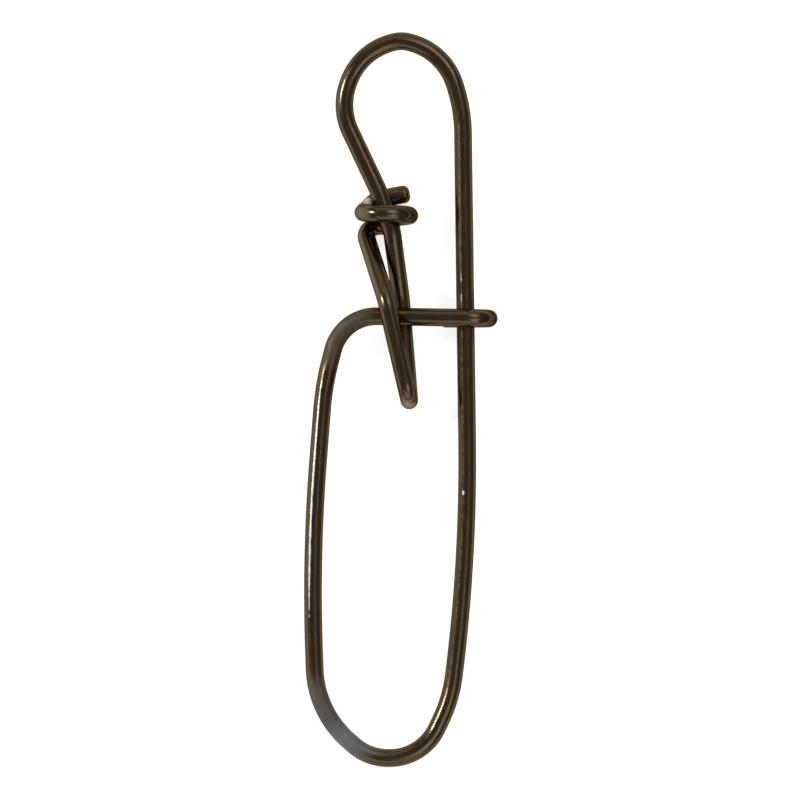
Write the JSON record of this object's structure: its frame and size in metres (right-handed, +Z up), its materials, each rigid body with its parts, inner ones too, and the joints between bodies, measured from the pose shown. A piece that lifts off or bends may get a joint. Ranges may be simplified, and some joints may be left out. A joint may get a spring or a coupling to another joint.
{
  "type": "fishing snap",
  "caption": "Long wire snap with a line eye, a keeper loop coiled round its own wire and a latch arm that hooks over the spine.",
  "frame": {"origin": "middle of the wire's outline, on the surface that it lies on", "axes": "+Y along the snap from the lure loop to the line eye, +X towards the spine and the hook, +Z up towards the viewer"},
  "size_m": [0.0096, 0.0368, 0.0033],
  "materials": {
    "dark_plated_wire": "glossy dark bronze-black plating on spring wire"
  },
  "bodies": {
    "root": {"snap_wire": "dark_plated_wire"}
  },
  "joints": []
}
